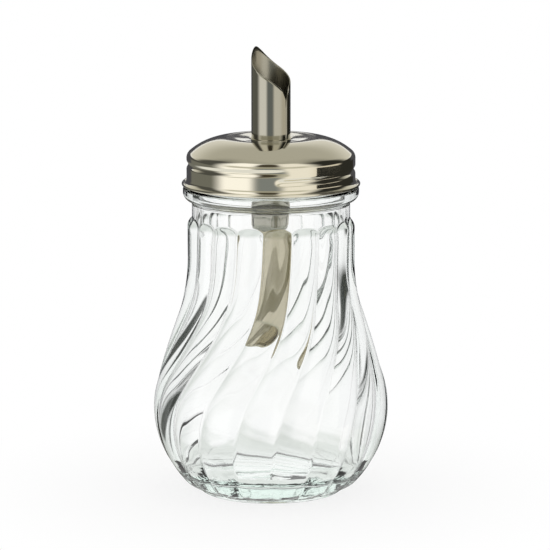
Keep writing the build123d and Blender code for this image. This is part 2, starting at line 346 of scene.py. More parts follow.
# ------------------------------------------------------------------ outlines and turned meshes
def ease(value: float, start: float, end: float) -> float:
    """Runs smoothly from 0 to 1.

    Args:
        value: the number that is looked up.
        start: where it is still 0.
        end: where it has become 1.

    Returns:
        The eased share.
    """
    share = min(max((value - start) / (end - start), 0.0), 1.0)
    return share * share * (3 - 2 * share)


def arc(centre: Point, radius: float, start: float, end: float, count: int) -> list[Point]:
    """Points on an arc.

    Args:
        centre: centre of the arc.
        radius: its radius.
        start: first angle, degrees.
        end: last angle, degrees.
        count: number of steps.

    Returns:
        The points, both ends included.
    """
    angles = [math.radians(start + (end - start) * step / count) for step in range(count + 1)]
    return [(centre[0] + radius * math.cos(a), centre[1] + radius * math.sin(a)) for a in angles]


def spaced(start: Point, end: Point, step: float) -> list[Point]:
    """Points along a straight line, no further apart than a step."""
    count = max(1, math.ceil(math.dist(start, end) / step))
    return [tuple(a + (b - a) * index / count for a, b in zip(start, end)) for index in range(count + 1)]


def eased(before: Point, corner: Point, after: Point, radius: float, count: int = 4) -> list[Point]:
    """Points that round a corner.

    Args:
        before: a point ahead of the corner.
        corner: the corner.
        after: a point past it.
        radius: radius of the rounding.
        count: number of steps.

    Returns:
        Points of the rounded corner.
    """
    first = np.subtract(before, corner) / math.dist(before, corner)
    second = np.subtract(after, corner) / math.dist(after, corner)
    half = math.acos(float(np.clip(first @ second, -1, 1))) / 2
    reach = radius / math.tan(half)
    centre = np.array(corner) + (first + second) / np.linalg.norm(first + second) * radius / math.sin(half)
    start = np.array(corner) + first * reach - centre
    end = np.array(corner) + second * reach - centre
    sweep = math.acos(float(np.clip(start @ end / radius**2, -1, 1)))
    points = []
    for index in range(count + 1):
        share = index / count
        spread = math.sin(sweep)
        spot = (start * math.sin((1 - share) * sweep) + end * math.sin(share * sweep)) / spread + centre
        points.append((float(spot[0]), float(spot[1])))
    return points


@dataclass
class Outline:
    """Half section of a turned piece, in order, with the piece's material on the left hand.

    Attributes:
        points: (radius, height) of each row.
        masks: numbers stored for each row, by name.
        closed: whether the last row joins the first one.
    """

    points: list[Point] = field(default_factory=list)
    masks: dict[str, list[float]] = field(default_factory=dict)
    closed: bool = False

    def add(self, points: Iterable[Point], **masks: float | Sequence[float]) -> Outline:
        """Adds rows, leaving out one that repeats the last.

        Args:
            points: the rows.
            masks: a number for all of them, or one for each.

        Returns:
            The outline itself.
        """
        for index, point in enumerate(points):
            if self.points and math.dist(point, self.points[-1]) < 1e-6:
                continue
            for name in masks:
                self.masks.setdefault(name, [0.0] * len(self.points))
            for name, numbers in self.masks.items():
                given = masks.get(name, 0.0)
                numbers.append(float(given if isinstance(given, (int, float)) else given[index]))
            self.points.append((float(point[0]), float(point[1])))
        return self

    def drop_repeat(self) -> None:
        """Takes off a last row that repeats the first."""
        if math.dist(self.points[0], self.points[-1]) < 1e-6:
            self.points.pop()
            for numbers in self.masks.values():
                numbers.pop()

    def turned(self, name: str, angles: Sequence[float]) -> bpy.types.Mesh:
        """Turns the outline round the vertical axis.

        Args:
            name: name of the mesh.
            angles: angle of each column, radians, rising round one turn.

        Returns:
            A closed mesh in millimetres with the masks as point attributes.
        """
        columns = len(angles)
        turn = np.array([(math.cos(a), math.sin(a)) for a in angles])
        spots: list[np.ndarray] = []
        starts: list[tuple[int, int]] = []
        owner: list[int] = []
        total = 0
        for row, (radius, height) in enumerate(self.points):
            width = 1 if radius < 1e-9 else columns
            ring = np.zeros((width, 3))
            if width > 1:
                ring[:, :2] = turn * radius
            ring[:, 2] = height
            spots.append(ring)
            starts.append((total, width))
            owner += [row] * width
            total += width
        pairs = list(zip(range(len(starts) - 1), range(1, len(starts))))
        if self.closed:
            pairs.append((len(starts) - 1, 0))
        faces: list[tuple[int, ...]] = []
        for low, high in pairs:
            (first, low_width), (second, high_width) = starts[low], starts[high]
            for column in range(columns):
                after = (column + 1) % columns
                corners = [first + column, first + after, second + after, second + column]
                if low_width == 1:
                    corners = [first, second + after, second + column]
                elif high_width == 1:
                    corners = [first + column, first + after, second]
                faces.append(tuple(corners))
        mesh = bpy.data.meshes.new(name)
        mesh.from_pydata(np.concatenate(spots).tolist(), [], faces)
        for label, numbers in self.masks.items():
            stored = mesh.attributes.new(label, "FLOAT", "POINT")
            stored.data.foreach_set("value", np.array(numbers, np.float32)[owner])
        mesh.shade_smooth()
        return mesh


def even_columns(count: int) -> list[float]:
    """Angles of evenly spaced columns."""
    return [2 * math.pi * column / count for column in range(count)]


def seam_columns(seam: float, half_width: float, fine: int, coarse: int) -> list[float]:
    """Angles that crowd round a seam.

    Args:
        seam: the seam's angle, degrees.
        half_width: half the crowded part, degrees.
        fine: columns in the crowded part.
        coarse: columns in the rest of the turn.

    Returns:
        Rising angles, radians.
    """
    crowded = [seam + half_width * (2 * step / fine - 1) for step in range(fine + 1)]
    rest = [seam + half_width + (360 - 2 * half_width) * step / coarse for step in range(1, coarse)]
    return [math.radians(angle) for angle in crowded + rest]


# ------------------------------------------------------------------ finishes
@dataclass(frozen=True)
class SatinSteel:
    """Drawn and lightly brushed sheet steel with a warm tone.

    Attributes:
        name: material name.
        colour: colour of the metal.
        roughness: mean roughness.
        spread: how much the roughness wanders.
        grain: fineness of the drawing marks, per metre.
        stretch: fineness of the marks up the piece, as a share of that round it.
        clouds: fineness of the broad unevenness, per metre.
        bore: radius of a dull bore, metres, below 0 for none.
        bore_roughness: roughness in it.
    """

    name: str
    colour: Colour = (0.76, 0.73, 0.62)
    roughness: float = 0.08
    spread: float = 0.03
    grain: float = 900.0
    stretch: float = 0.05
    clouds: float = 90.0
    bore: float = -1.0
    bore_roughness: float = 0.08

    def material(self) -> bpy.types.Material:
        """Builds the material.

        Returns:
            The material.
        """
        made, graph = new_material(self.name)
        spot = graph.node("ShaderNodeTexCoord").outputs["Object"]
        squeeze = {"Vector": spot, "Scale": (1.0, 1.0, self.stretch)}
        marks = graph.noise(graph.node("ShaderNodeMapping", sockets=squeeze).outputs[0], self.grain, 2.0, 0.6)
        clouds = graph.noise(spot, self.clouds, 2.0)
        wander = (marks - 0.5) + (clouds - 0.5)
        flat = graph.node("ShaderNodeVectorMath", {"operation": "MULTIPLY"}, {0: spot, 1: (1.0, 1.0, 0.0)})
        out = graph.length(flat.outputs[0])
        roughness = graph.ramp(out, self.bore, self.bore + 0.1 * MM, self.bore_roughness, self.roughness)
        shader = graph.node(
            "ShaderNodeBsdfPrincipled",
            sockets={
                "Base Color": rgba(self.colour),
                "Metallic": 1.0,
                "Roughness": roughness + self.spread * wander,
            },
        )
        graph.node("ShaderNodeOutputMaterial", sockets={"Surface": shader.outputs[0]})
        return made


@dataclass(frozen=True)
class PressedGlass:
    """Clear soda glass with a slight green cast.

    Attributes:
        name: material name.
        bend: refractive index.
        cast: colour that deep glass takes.
        density: how quickly it takes it, per metre.
        relief: strength of the skin's unevenness.
        waves: fineness of the long waves that the whole skin has, per metre.
        swirls: fineness of the swirls in the pressed floor, per metre.
        swirl_height: height of the swirls, as a multiple of the waves.
        floor: height up to which they reach, metres.
    """

    name: str = "Pressed clear glass"
    bend: float = 1.5
    cast: Colour = (0.42, 0.86, 0.66)
    density: float = 5.5
    relief: float = 0.06
    waves: float = 70.0
    swirls: float = 130.0
    swirl_height: float = 6.0
    floor: float = 0.013

    def material(self) -> bpy.types.Material:
        """Builds the material.

        Returns:
            The material.
        """
        made, graph = new_material(self.name)
        spot = graph.node("ShaderNodeTexCoord").outputs["Object"]
        _, _, up = graph.axes(spot)
        low = graph.ramp(up, self.floor - 2 * MM, self.floor, 1.0, 0.0)
        swirls = self.swirl_height * low * graph.noise(spot, self.swirls, 2.0)
        height = graph.noise(spot, self.waves, 1.0) + swirls
        bump = {"Strength": self.relief, "Distance": MM, "Height": height}
        skin = graph.node("ShaderNodeBump", sockets=bump)
        shader = graph.node(
            "ShaderNodeBsdfPrincipled",
            sockets={
                "Base Color": (1.0, 1.0, 1.0, 1.0),
                "Roughness": 0.0,
                "IOR": self.bend,
                "Transmission Weight": 1.0,
                "Normal": skin.outputs[0],
            },
        )
        tint = {"Color": rgba(self.cast), "Density": self.density}
        depth = graph.node("ShaderNodeVolumeAbsorption", sockets=tint)
        ends = {"Surface": shader.outputs[0], "Volume": depth.outputs[0]}
        graph.node("ShaderNodeOutputMaterial", sockets=ends)
        return made


@dataclass(frozen=True)
class SealRubber:
    """Pale, matt seal material.

    Attributes:
        name: material name.
        colour: its colour.
        roughness: mean roughness.
        spread: how much the roughness wanders.
        flecks: fineness of the flecks that it wanders with, per metre.
    """

    name: str = "Pale seal rubber"
    colour: Colour = (0.72, 0.71, 0.68)
    roughness: float = 0.55
    spread: float = 0.1
    flecks: float = 400.0

    def material(self) -> bpy.types.Material:
        """Builds the material.

        Returns:
            The material.
        """
        made, graph = new_material(self.name)
        spot = graph.node("ShaderNodeTexCoord").outputs["Object"]
        flecks = graph.noise(spot, self.flecks, 3.0)
        roughness = self.roughness + self.spread * (flecks - 0.5)
        sockets = {"Base Color": rgba(self.colour), "Roughness": roughness}
        shader = graph.node("ShaderNodeBsdfPrincipled", sockets=sockets)
        graph.node("ShaderNodeOutputMaterial", sockets={"Surface": shader.outputs[0]})
        return made


# ------------------------------------------------------------------ pieces
class Body(Enum):
    """Moving bodies that pieces ride on."""

    JAR = "jar"
    GASKET = "gasket"
    LID = "lid"
    FLAP = "flap"


def piece(name: str, mesh: bpy.types.Mesh, body: Body, nodes: Sequence[str]) -> bpy.types.Object:
    """Stands a finished mesh in for CAD nodes.

    Args:
        name: name of the piece.
        mesh: its mesh, in millimetres.
        body: the body that it rides on.
        nodes: CAD nodes that it replaces.

    Returns:
        The piece.
    """
    mesh.transform(Matrix.Scale(MM, 4))
    mesh.name = name
    made = bpy.data.objects.new(name, mesh)
    bpy.context.scene.collection.objects.link(made)
    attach(made, body.value)
    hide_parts(*nodes)
    log.info("%s: %d faces, rides on %s", name, len(mesh.polygons), body.value)
    return made


@dataclass(frozen=True)
class Thread:
    """A ridge or groove that winds round a wall once or so.

    Attributes:
        start_angle: where it starts, degrees from +X.
        start_height: height of its start.
        pitch: rise for each turn.
        turns: its length in turns.
        half_width: half its width up the wall.
        depth: how far it stands out, below 0 for a groove.
        run_in: share of a turn over which it starts.
        run_out: share of a turn over which it ends.
    """

    start_angle: float
    start_height: float
    pitch: float
    turns: float
    half_width: float
    depth: float
    run_in: float
    run_out: float

    def cut(self, mesh: bpy.types.Mesh, finish: bpy.types.Material) -> bpy.types.Mesh:
        """Works the thread into the rows that carry the mask "threaded".

        Args:
            mesh: the wall, in millimetres.
            finish: material of the result.

        Returns:
            The threaded mesh.
        """
        tree = ShapeTree("Rolled thread", labelled(vars(self)))
        graph = tree.graph
        share = graph.math("FRACT", tree.angle / (2 * math.pi) - tree.size("Start Angle") / 360 + 1.0)
        climb = (tree.z - tree.size("Start Height")) / tree.size("Pitch")
        along = share + graph.math("ROUND", climb - share)
        off = graph.math("ABSOLUTE", (climb - along) * tree.size("Pitch")) / tree.size("Half Width")
        bowl = 0.5 + 0.5 * graph.math("COSINE", math.pi * graph.math("MINIMUM", off, 1.0))
        turns = tree.size("Turns")
        run_in = graph.ramp(along, 0.0, tree.size("Run In"))
        run_out = graph.ramp(along, turns - tree.size("Run Out"), turns, 1.0, 0.0)
        relief = tree.size("Depth") * bowl * run_in * run_out * tree.mask("threaded")
        tree.place_round(tree.radius + relief, tree.angle, tree.z)
        return tree.apply(mesh, finish)


@dataclass
class SlantedEnd:
    """The slanted end of a tube.

    Attributes:
        side: angle of the low side, degrees from +X.
        slope: slant from the horizontal, degrees.
        middle: height of the cut on the tube's axis.
        square: height of the square end that the mesh starts with.
    """

    side: float
    slope: float
    middle: float
    square: float

    def cut(self, mesh: bpy.types.Mesh, finish: bpy.types.Material) -> bpy.types.Mesh:
        """Slants the rows that carry the mask "reach".

        Args:
            mesh: the tube with a square end, in millimetres.
            finish: material of the result.

        Returns:
            The finished tube mesh.
        """
        slope = math.tan(math.radians(self.slope))
        tree = ShapeTree("Slanted end", labelled(vars(self), side=math.radians(self.side), slope=slope))
        ahead, _ = tree.towards(tree.size("Side"))
        end = tree.size("Middle") - ahead * tree.size("Slope")
        tree.place(tree.x, tree.y, tree.z + tree.mask("reach") * (end - tree.size("Square")))
        return tree.apply(mesh, finish)


@dataclass
class PouringMouth:
    """The spout's slanted mouth, which steepens towards the tip and the low corner, with V, slit and seam.

    Attributes:
        side: angle of the low corner and of the seam, degrees from +X.
        radius: outer radius of the tube.
        slope: slant of the straight middle part, degrees from the horizontal.
        straight: how far that part runs towards the low corner.
        tip_straight: how far it runs towards the tip.
        middle: its height on the axis.
        tip: height of the tip, which is also the mesh's square end.
        corner: height of the low corner.
        notch_width: width of the V at the low corner.
        notch_length: length of the V.
        slit_width: width of the slit that it runs out into.
        slit_length: length of the slit.
        seam_width: width of the seam.
        seam_depth: depth of the seam.
    """

    side: float
    radius: float
    slope: float
    straight: float
    tip_straight: float
    middle: float
    tip: float
    corner: float
    notch_width: float
    notch_length: float
    slit_width: float
    slit_length: float
    seam_width: float
    seam_depth: float

    def bend(self, end: Point) -> tuple[Point, float]:
        """Circle that carries the straight part on to an end of the mouth.

        Args:
            end: distance towards the low side, and height.

        Returns:
            The circle's centre and radius.
        """
        tilt = math.radians(self.slope)
        sign = math.copysign(1.0, end[0])
        at = self.straight if sign > 0 else -self.tip_straight
        start = np.array((at, self.middle - at * math.tan(tilt)))
        normal = -sign * np.array((math.sin(tilt), math.cos(tilt)))
        chord = np.array(end) - start
        radius = float(chord @ chord / (2 * (chord @ normal)))
        centre = start + radius * normal
        return (float(centre[0]), float(centre[1])), radius

    def cut(self, mesh: bpy.types.Mesh, finish: bpy.types.Material) -> bpy.types.Mesh:
        """Shapes the rows that carry the mask "reach" and sinks the seam where "seamed" says.

        Args:
            mesh: the tube with a square end, in millimetres.
            finish: material of the result.

        Returns:
            The finished tube mesh.
        """
        (low_at, low_height), low_radius = self.bend((self.radius, self.corner))
        (high_at, high_height), high_radius = self.bend((-self.radius, self.tip))
        labels = labelled(
            {name: size for name, size in vars(self).items() if name != "radius"},
            side=math.radians(self.side),
            slope=math.tan(math.radians(self.slope)),
            low_bend=low_radius,
            low_bend_place=low_at,
            low_bend_height=low_height,
            high_bend=high_radius,
            high_bend_place=high_at,
            high_bend_height=high_height,
        )
        tree = ShapeTree("Pouring mouth", labels)
        graph, size = tree.graph, tree.size
        ahead, aside = tree.towards(size("Side"))
        across = graph.math("ABSOLUTE", aside)
        line = size("Middle") - ahead * size("Slope")
        low_off, high_off = ahead - size("Low Bend Place"), ahead - size("High Bend Place")
        low = size("Low Bend Height") + graph.side_of_circle(size("Low Bend"), low_off)
        high = size("High Bend Height") - graph.side_of_circle(size("High Bend"), high_off)
        past_low = graph.math("GREATER_THAN", ahead, size("Straight"))
        past_high = graph.math("LESS_THAN", ahead, -1.0 * size("Tip Straight"))
        edge = line + (low - line) * past_low + (high - line) * past_high
        notch_half, slit_half, seam_half = (size(f"{cut} Width") / 2 for cut in ("Notch", "Slit", "Seam"))
        flank = size("Notch Length") / (notch_half - slit_half)
        notch = size("Corner") - (notch_half - across) * flank
        deep = graph.math("MAXIMUM", 1.0 - across / slit_half, 0.0)
        notch = notch - size("Slit Length") * deep
        front = graph.math("GREATER_THAN", ahead, 0.0)
        edge = edge + (graph.math("MINIMUM", edge, notch) - edge) * front
        height = tree.z + tree.mask("reach") * (edge - size("Tip"))
        groove = graph.ramp(across, 0.6 * seam_half, 1.6 * seam_half, 1.0, 0.0) * front * tree.mask("seamed")
        tree.place_round(tree.radius - size("Seam Depth") * groove, tree.angle, height)
        return tree.apply(mesh, finish)


@dataclass
class FlutedJar:
    """The jar: fluted body that winds as it rises, foot ring, neck with its bead, and threaded mouth.

    Lengths are millimetres and angles degrees.
    """

    belly_radius: float = 39.85  # over the rib crests
    belly_height: float = 29.0
    belly_curve: float = 36.0  # radius of the belly's arc
    flank_angle: float = 17.6  # slope of the straight flank, from the vertical
    throat_radius: float = 28.3
    throat_curve: float = 60.0  # radius of the hollow arc from flank to throat
    shoulder_height: float = 90.5  # where the ribs begin to round off
    rib_round: float = 4.0  # rounding of their upper ends
    rib_count: int = 18
    rib_depth: float = 1.4  # crest to valley
    rib_fullness: float = 2.25  # power of the rib's profile: higher is fuller
    low_share: float = 0.65  # share of the depth that is left towards the foot
    fade_start: float = 33.0  # below this height only that share is left
    fade_end: float = 51.0  # above this height the ribs have their full depth
    rib_twist: float = 35.8  # how far a rib winds round from foot to throat
    twist_height: float = 49.0  # height of its steepest winding
    twist_spread: float = 9.9  # how gradually the winding sets in and fades out
    valley_angle: float = -90.2  # where one valley meets the foot
    least_radius: float = 20.0  # no valley is deeper than this
    least_foot: float = 18.0  # the same, where it rises towards the foot ring
    least_start: float = 82.0  # height from which it rises towards the neck
    least_rise: float = 8.0  # height over which it does
    foot_start: float = 5.0  # height below which it rises towards the foot ring
    foot_rise: float = 2.5  # height over which it does
    blend: float = 0.5  # softness of the meeting of a valley and that least radius
    wall: float = 3.7  # from the crests to the inside at the floor
    thinning: float = 0.8  # how much less that is above the floor
    foot_radius: float = 24.2
    foot_width: float = 3.4
    foot_recess: float = 1.2
    foot_inner_edge: float = 0.8
    foot_outer_edge: float = 0.7
    body_start: float = 0.9  # underside of the fluted body
    body_round: float = 3.0  # rounding from there to the belly
    neck_radius: float = 26.7
    bead_height: float = 102.6
    bead_radius: float = 3.0
    bead_top: float = 104.0
    bead_edge: float = 0.5
    step_edge: float = 0.4  # inner corner between bead and threaded wall
    finish_radius: float = 26.2  # wall that carries the thread
    mouth_radius: float = 23.6
    mouth_height: float = 115.4
    lip_edge: float = 0.8
    throat_bore: float = 24.6
    bore_bottom: float = 103.7  # the bore narrows from here
    bore_top: float = 109.7  # to here
    bore_round: float = 6.0
    floor_height: float = 7.5
    floor_rise: float = 1.2
    floor_round: float = 6.0
    roll: float = 0.3  # share of the ribs that the inside follows
    roll_start: float = 63.0  # height at which it begins to
    roll_full: float = 79.0  # height at which it has that share
    columns_per_rib: int = 18
    row_step: float = 1.1
    inner_step: float = 1.6
    thread_step: float = 0.35
    thread_low: float = 0.6  # plain wall below the threaded rows
    thread_high: float = 1.0  # plain wall above them
    glass: PressedGlass = PressedGlass()
    thread: Thread = Thread(
        start_angle=272.0,
        start_height=111.2,
        pitch=3.2,
        turns=0.8,
        half_width=0.95,
        depth=1.4,
        run_in=0.06,
        run_out=0.06,
    )

    def crest(self, height: float) -> float:
        """Radius over the rib crests, from the foot to the shoulder.

        Args:
            height: height above the foot.

        Returns:
            The radius.
        """
        slope = math.radians(self.flank_angle)
        flank_low = self.belly_height + self.belly_curve * math.sin(slope)
        low_radius = self.belly_radius - self.belly_curve * (1 - math.cos(slope))
        high_radius = self.throat_radius + self.throat_curve * (1 - math.cos(slope))
        flank_high = flank_low + (low_radius - high_radius) / math.tan(slope)
        throat_height = flank_high + self.throat_curve * math.sin(slope)
        if height < flank_low:
            rise = height - self.belly_height
            return self.belly_radius - self.belly_curve + math.sqrt(self.belly_curve**2 - rise**2)
        if height < flank_high:
            return low_radius - (height - flank_low) * math.tan(slope)
        if height < throat_height:
            fall = throat_height - height
            return self.throat_radius + self.throat_curve - math.sqrt(self.throat_curve**2 - fall**2)
        if height < self.shoulder_height:
            return self.throat_radius
        rise = min(height - self.shoulder_height, self.rib_round)
        return self.throat_radius - self.rib_round + math.sqrt(self.rib_round**2 - rise**2)

    def body_rows(self) -> tuple[list[Point], list[float]]:
        """Rows of the fluted wall from its rounded underside to the ends of the ribs.

        Returns:
            The rows, and for each the least radius that the flutes may reach.
        """
        quarter, top = math.pi / 2, self.shoulder_height
        rounding = [1 - math.cos(quarter * step / 8) for step in range(8)]
        heights = [self.body_start + self.body_round * share for share in rounding]
        heights += [z for _, z in spaced((0, heights[-1] + 0.4), (0, top), self.row_step)]
        heights += [top + self.rib_round * math.sin(quarter * step / 12) for step in range(1, 13)]
        rows, least = [], []
        for z in heights:
            share = min(max((z - self.body_start) / self.body_round, 0.0), 1.0)
            pillow = math.sqrt(1 - (1 - share) ** 2)
            rows.append((self.foot_radius + (self.crest(z) - self.foot_radius) * pillow, z))
            near_neck = min(max((z - self.least_start) / self.least_rise, 0.0), 1.0)
            near_foot = min(max((self.foot_start - z) / self.foot_rise, 0.0), 1.0)
            neck = self.least_radius + (self.neck_radius - self.least_radius) * near_neck
            foot = self.least_foot + (self.foot_radius - self.least_foot) * near_foot
            least.append(max(neck, foot))
        return rows, least

    def follow(self, height: float) -> float:
        """Share of the ribs that the inside follows.

        Args:
            height: height above the foot.

        Returns:
            The share, 0 where the inside is round.
        """
        end = self.shoulder_height
        share = ease(height, self.roll_start, self.roll_full) * (1 - ease(height, end - 2, end + 1))
        return self.roll * share

    def section(self) -> Outline:
        """Half section of the jar: outside from the axis up, mouth, and inside back to the axis.

        Returns:
            The outline.
        """
        ring, foot = (self.foot_radius - self.foot_width, 0.0), (self.foot_radius, 0.0)
        inner = (ring[0] - self.foot_recess, self.foot_recess)
        outline = Outline()
        outline.add(spaced((0, self.foot_recess), inner, 4.0))
        outline.add(eased(inner, ring, foot, self.foot_inner_edge))
        outline.add(eased(ring, foot, (self.foot_radius, 3.0), self.foot_outer_edge))
        rows, least = self.body_rows()
        outline.add(rows, fluted=1.0, least=least)
        outline.points[-1] = (self.neck_radius, outline.points[-1][1])
        outline.masks["fluted"][-1] = 0.0
        bead_foot = (self.neck_radius, self.bead_height - self.bead_radius - 0.5)
        outline.add(spaced(outline.points[-1], bead_foot, 1.0))
        outline.add(arc((self.neck_radius, self.bead_height), self.bead_radius, -78, 0, 10))
        shelf = (self.neck_radius + self.bead_radius, self.bead_top)
        step, top = (self.finish_radius, self.bead_top), (self.finish_radius, self.mouth_height)
        lip = (self.mouth_radius, self.mouth_height)
        outline.add(eased((shelf[0], self.bead_height), shelf, step, self.bead_edge))
        outline.add(eased(shelf, step, top, self.step_edge))
        low, high = (step[0], step[1] + self.thread_low), (top[0], top[1] - self.thread_high)
        outline.add(spaced(low, high, self.thread_step), threaded=1.0)
        narrow, wide = (self.mouth_radius, self.bore_top), (self.throat_bore, self.bore_bottom)
        under = (self.throat_bore, self.shoulder_height)
        outline.add(eased(step, top, lip, self.lip_edge, 6))
        outline.add(eased(top, lip, narrow, self.lip_edge, 6))
        outline.add(eased(lip, narrow, wide, self.bore_round))
        outline.add(eased(narrow, wide, under, self.bore_round))
        floor_end = self.floor_height + self.floor_round - 0.5
        heights = [z for _, z in spaced((0, self.shoulder_height), (0, floor_end), self.inner_step)]
        inset = self.wall - self.thinning
        outline.add([(self.crest(z) - inset, z) for z in heights], fluted=[self.follow(z) for z in heights])
        corner = (self.crest(self.floor_height) - self.wall, self.floor_height)
        middle = self.floor_height + self.floor_rise
        outline.add(eased(outline.points[-1], corner, (corner[0] / 2, middle - 0.3), self.floor_round, 10))
        radius, height = outline.points[-1]
        shares = [1 - step / 10 for step in range(1, 11)]
        outline.add([(radius * share, middle - (middle - height) * share**2) for share in shares])
        return outline

    def flute(self, mesh: bpy.types.Mesh, finish: bpy.types.Material) -> bpy.types.Mesh:
        """Presses the flutes into the outer wall and winds the whole jar with height.

        Args:
            mesh: the turned jar, in millimetres.
            finish: its material.

        Returns:
            The fluted mesh.
        """
        relief = ("rib_depth", "rib_fullness", "low_share", "fade_start", "fade_end", "blend")
        winding = ("twist_height", "twist_spread")
        labels = labelled(
            {name: getattr(self, name) for name in relief + winding},
            rib_half_angle=math.pi / self.rib_count,
            valley_angle=math.radians(self.valley_angle),
            rib_twist=math.radians(self.rib_twist),
        )
        tree = ShapeTree("Winding flutes", labels)
        graph, size, crest = tree.graph, tree.size, tree.radius
        half = size("Rib Half Angle")
        across = graph.math("ABSOLUTE", graph.math("WRAP", tree.angle - half, half, -1.0 * half)) / half
        fade = graph.ramp(tree.z, size("Fade Start"), size("Fade End"), size("Low Share"), 1.0)
        depth = size("Rib Depth") * fade
        wall = crest - depth * graph.math("POWER", across, size("Rib Fullness"))
        soft = graph.math("SMOOTH_MAX", wall, tree.mask("least"), size("Blend"))
        radius = crest + (soft - crest) * tree.mask("fluted")
        late = graph.math("EXPONENT", (size("Twist Height") - tree.z) / size("Twist Spread"))
        turn = size("Valley Angle") + size("Rib Twist") / (1.0 + late)
        tree.place_round(radius, tree.angle + turn, tree.z)
        return tree.apply(mesh, finish)

    def build(self) -> bpy.types.Object:
        """Makes and dresses the jar.

        Returns:
            The jar.
        """
        glass = self.glass.material()
        mesh = self.section().turned("jar", even_columns(self.rib_count * self.columns_per_rib))
        mesh = self.thread.cut(self.flute(mesh, glass), glass)
        return piece("fluted_jar", mesh, Body.JAR, ["glass_jar"])


@dataclass
class ScrewLid:
    """The lid: one sheet with a turned-down hole, domed crown, threaded skirt and curled hem.

    Lengths are millimetres and angles degrees.
    """

    sheet: float = 0.4
    radius: float = 28.45  # outside of the skirt
    top: float = 120.996
    flat: float = 14.5  # radius of the flat middle
    crown: float = 20.0  # radius of the curve from there to the shoulder
    shoulder: float = 2.7
    dish: float = 0.35  # how far the middle is pressed down
    dish_radius: float = 12.5
    dish_round: float = 20.0
    hem_height: float = 105.35
    hem_bead: float = 0.6  # radius of the curl
    hem_flare: float = 2.2  # radius of the flare above it
    hem_reach: float = 1.05  # how far the curl's middle stands out from the skirt
    hole_radius: float = 6.62
    hole_bend: float = 0.9
    hole_depth: float = 3.0
    columns: int = 256
    row_step: float = 0.17
    dish_step: float = 1.2
    steel: SatinSteel = SatinSteel("Lid steel")
    thread: Thread = Thread(
        start_angle=272.0,
        start_height=109.6,
        pitch=3.2,
        turns=1.05,
        half_width=1.5,
        depth=-0.6,
        run_in=0.02,
        run_out=0.08,
    )

    def flare(self) -> tuple[Point, Point]:
        """Middle of the curl, and middle of the flare's curve above it.

        Returns:
            The two points.
        """
        rise = math.sqrt(self.hem_flare**2 - (self.hem_flare - self.hem_reach) ** 2)
        curl = (self.radius + self.hem_reach, self.hem_height)
        return curl, (self.radius + self.hem_flare, self.hem_height + rise)

    def meeting(self, reach: float) -> tuple[float, float]:
        """Where a face of the flare meets the curl.

        Args:
            reach: radius of that face.

        Returns:
            Its angle seen from the middle of the curl, and from the middle of the flare's curve.
        """
        curl, bow = self.flare()
        gap = math.dist(curl, bow)
        towards = math.degrees(math.atan2(bow[1] - curl[1], bow[0] - curl[0]))
        lean = (self.hem_bead**2 + gap**2 - reach**2) / (2 * self.hem_bead * gap)
        angle = towards + math.degrees(math.acos(lean))
        spot = (
            curl[0] + self.hem_bead * math.cos(math.radians(angle)),
            curl[1] + self.hem_bead * math.sin(math.radians(angle)),
        )
        back = math.degrees(math.atan2(spot[1] - bow[1], spot[0] - bow[0])) % 360
        return angle, back

    def line(self, inward: float, steps: int) -> list[list[Point]]:
        """The sheet's line from the flare over the shoulder to the hole, in parts.

        Args:
            inward: distance inside the outer face.
            steps: steps of each bend.

        Returns:
            Flare, skirt, shoulder, crown, flat with its dish, bend, and collar.
        """
        reach = self.radius - self.shoulder - self.flat
        rise = math.sqrt((self.crown - self.shoulder) ** 2 - reach**2)
        tilt = math.degrees(math.atan2(rise, reach))
        low = self.top - self.crown
        bend = (self.radius - self.shoulder, low + rise)
        _, bow = self.flare()
        _, start = self.meeting(self.hem_flare + inward)
        wall = self.radius - inward
        hole = (self.hole_radius + self.hole_bend, self.top - self.dish - self.hole_bend)
        inner = self.hole_bend - inward
        lip = (hole[0], self.top - self.dish - inward)
        edge, brim = (self.dish_radius, self.top - inward), (self.flat, self.top - inward)
        return [
            arc(bow, self.hem_flare + inward, start, 180, steps),
            spaced((wall, bow[1]), (wall, bend[1]), self.row_step),
            arc(bend, self.shoulder - inward, 0, tilt, 2 * steps),
            arc((self.flat, low), self.crown - inward, tilt, 90, 3 * steps),
            [*eased(brim, edge, lip, self.dish_round, 6), *spaced(edge, lip, self.dish_step)[2:]],
            arc(hole, inner, 90, 180, steps),
            [(hole[0] - inner, self.top - self.dish - self.hole_depth)],
        ]

    def section(self) -> Outline:
        """Closed half section of the sheet, with its curled hem.

        Returns:
            The outline.
        """
        curl, _ = self.flare()
        under, _ = self.meeting(self.hem_flare + self.sheet)
        over, _ = self.meeting(self.hem_flare)
        outline = Outline(closed=True)
        outline.add(arc(curl, self.hem_bead, under, over + 360, 20))
        for index, part in enumerate(self.line(0.0, 6)):
            outline.add(part, threaded=float(index == 1))
        for index, part in reversed(list(enumerate(self.line(self.sheet, 5)))):
            outline.add(list(reversed(part)), threaded=float(index == 1))
        outline.drop_repeat()
        return outline

    def build(self) -> bpy.types.Object:
        """Makes and dresses the lid.

        Returns:
            The lid.
        """
        steel = self.steel.material()
        mesh = self.thread.cut(self.section().turned("lid", even_columns(self.columns)), steel)
        return piece("screw_lid", mesh, Body.LID, ["lid_shell"])


